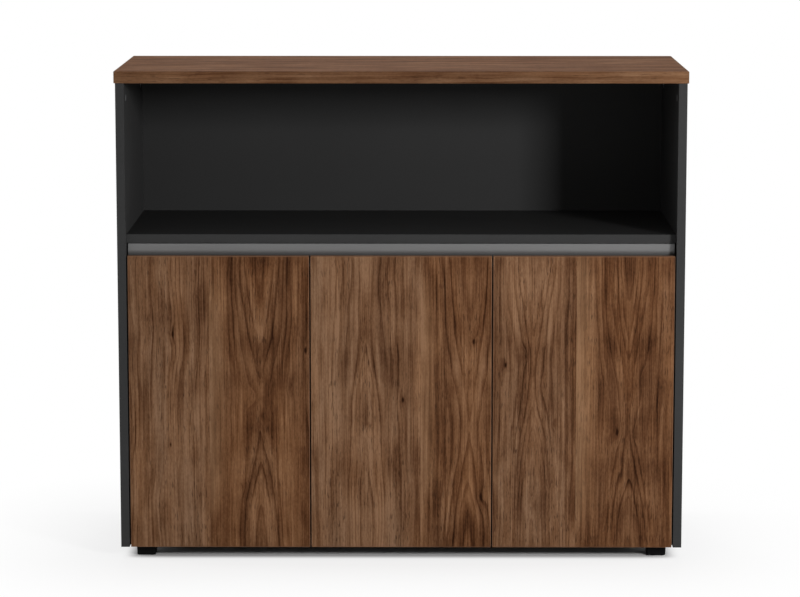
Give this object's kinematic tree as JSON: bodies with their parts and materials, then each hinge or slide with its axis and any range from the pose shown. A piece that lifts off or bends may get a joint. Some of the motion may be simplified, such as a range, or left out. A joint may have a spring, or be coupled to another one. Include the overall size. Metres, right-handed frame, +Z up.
{
  "type": "office credenza",
  "caption": "Free-standing office credenza: walnut top, open binder niche, inset walnut doors on concealed hinges under an aluminium finger-pull profile, short feet.",
  "frame": {"origin": "on the floor, under the middle of the case", "axes": "+X to the right seen from the front, +Y from the front to the back, +Z up"},
  "size_m": [1.2, 0.45, 1.04],
  "materials": {
    "walnut": "satin lacquered walnut veneer",
    "graphite": "matt graphite melamine on chipboard",
    "aluminium": "satin anodised",
    "nickel": "nickel-plated pressed steel",
    "zinc": "plain die-cast zinc",
    "black_plastic": "moulded, fine texture"
  },
  "bodies": {
    "case": {"top_panel": "walnut", "left_side_panel": "graphite", "right_side_panel": "graphite", "left_front_cam": "zinc", "left_rear_cam": "zinc", "right_front_cam": "zinc", "right_rear_cam": "zinc", "niche_shelf": "graphite", "bottom_panel": "graphite", "back_panel": "graphite", "finger_pull_profile": "aluminium", "partition": "graphite", "front_left_foot": "black_plastic", "front_right_foot": "black_plastic", "rear_left_foot": "black_plastic", "rear_right_foot": "black_plastic", "wide_shelf": "graphite", "wide_shelf_front_left_support": "zinc", "wide_shelf_front_right_support": "zinc", "wide_shelf_rear_left_support": "zinc", "wide_shelf_rear_right_support": "zinc", "narrow_shelf": "graphite", "narrow_shelf_front_left_support": "zinc", "narrow_shelf_front_right_support": "zinc", "narrow_shelf_rear_left_support": "zinc", "narrow_shelf_rear_right_support": "zinc", "left_lower_hinge_arm": "nickel", "left_lower_mounting_plate": "nickel", "left_upper_hinge_arm": "nickel", "left_upper_mounting_plate": "nickel", "middle_lower_hinge_arm": "nickel", "middle_lower_mounting_plate": "nickel", "middle_upper_hinge_arm": "nickel", "middle_upper_mounting_plate": "nickel", "right_lower_hinge_arm": "nickel", "right_lower_mounting_plate": "nickel", "right_upper_hinge_arm": "nickel", "right_upper_mounting_plate": "nickel"},
    "left_leaf": {"left_door": "walnut", "left_lower_hinge_cup": "nickel", "left_upper_hinge_cup": "nickel"},
    "left_inner_links": {"left_lower_inner_link": "nickel", "left_upper_inner_link": "nickel"},
    "left_outer_links": {"left_lower_outer_link": "nickel", "left_upper_outer_link": "nickel"},
    "middle_leaf": {"middle_door": "walnut", "middle_lower_hinge_cup": "nickel", "middle_upper_hinge_cup": "nickel"},
    "middle_inner_links": {"middle_lower_inner_link": "nickel", "middle_upper_inner_link": "nickel"},
    "middle_outer_links": {"middle_lower_outer_link": "nickel", "middle_upper_outer_link": "nickel"},
    "right_leaf": {"right_door": "walnut", "right_lower_hinge_cup": "nickel", "right_upper_hinge_cup": "nickel"},
    "right_inner_links": {"right_lower_inner_link": "nickel", "right_upper_inner_link": "nickel"},
    "right_outer_links": {"right_lower_outer_link": "nickel", "right_upper_outer_link": "nickel"}
  },
  "joints": [
    {"name": "left_door_swing", "type": "hinge", "parent": "case", "child": "left_leaf", "pos_m": [-0.5664, -0.2188, 0.338], "axis": [0, 0, -1], "range_deg": [0, 95]},
    {"name": "left_inner_link_swing", "type": "hinge", "parent": "case", "child": "left_inner_links", "pos_m": [-0.5434, -0.207, 0.338], "axis": [0, 0, -1], "range_deg": [-21.2, 0]},
    {"name": "left_outer_link_swing", "type": "hinge", "parent": "case", "child": "left_outer_links", "pos_m": [-0.5335, -0.1976, 0.338], "axis": [0, 0, -1], "range_deg": [-15, 0]},
    {"name": "middle_door_swing", "type": "hinge", "parent": "case", "child": "middle_leaf", "pos_m": [0.1814, -0.2188, 0.338], "axis": [0, 0, 1], "range_deg": [0, 95]},
    {"name": "middle_inner_link_swing", "type": "hinge", "parent": "case", "child": "middle_inner_links", "pos_m": [0.1584, -0.207, 0.338], "axis": [0, 0, 1], "range_deg": [-21.2, 0]},
    {"name": "middle_outer_link_swing", "type": "hinge", "parent": "case", "child": "middle_outer_links", "pos_m": [0.1485, -0.1976, 0.338], "axis": [0, 0, 1], "range_deg": [-15, 0]},
    {"name": "right_door_swing", "type": "hinge", "parent": "case", "child": "right_leaf", "pos_m": [0.5664, -0.2188, 0.338], "axis": [0, 0, 1], "range_deg": [0, 95]},
    {"name": "right_inner_link_swing", "type": "hinge", "parent": "case", "child": "right_inner_links", "pos_m": [0.5434, -0.207, 0.338], "axis": [0, 0, 1], "range_deg": [-21.2, 0]},
    {"name": "right_outer_link_swing", "type": "hinge", "parent": "case", "child": "right_outer_links", "pos_m": [0.5335, -0.1976, 0.338], "axis": [0, 0, 1], "range_deg": [-15, 0]}
  ],
  "couplings": [
    {"joint": "left_inner_link_swing", "follows": "left_door_swing", "ratio": -0.2225},
    {"joint": "left_outer_link_swing", "follows": "left_door_swing", "ratio": -0.157},
    {"joint": "middle_inner_link_swing", "follows": "middle_door_swing", "ratio": -0.2225},
    {"joint": "middle_outer_link_swing", "follows": "middle_door_swing", "ratio": -0.157},
    {"joint": "right_inner_link_swing", "follows": "right_door_swing", "ratio": -0.2225},
    {"joint": "right_outer_link_swing", "follows": "right_door_swing", "ratio": -0.157}
  ]
}
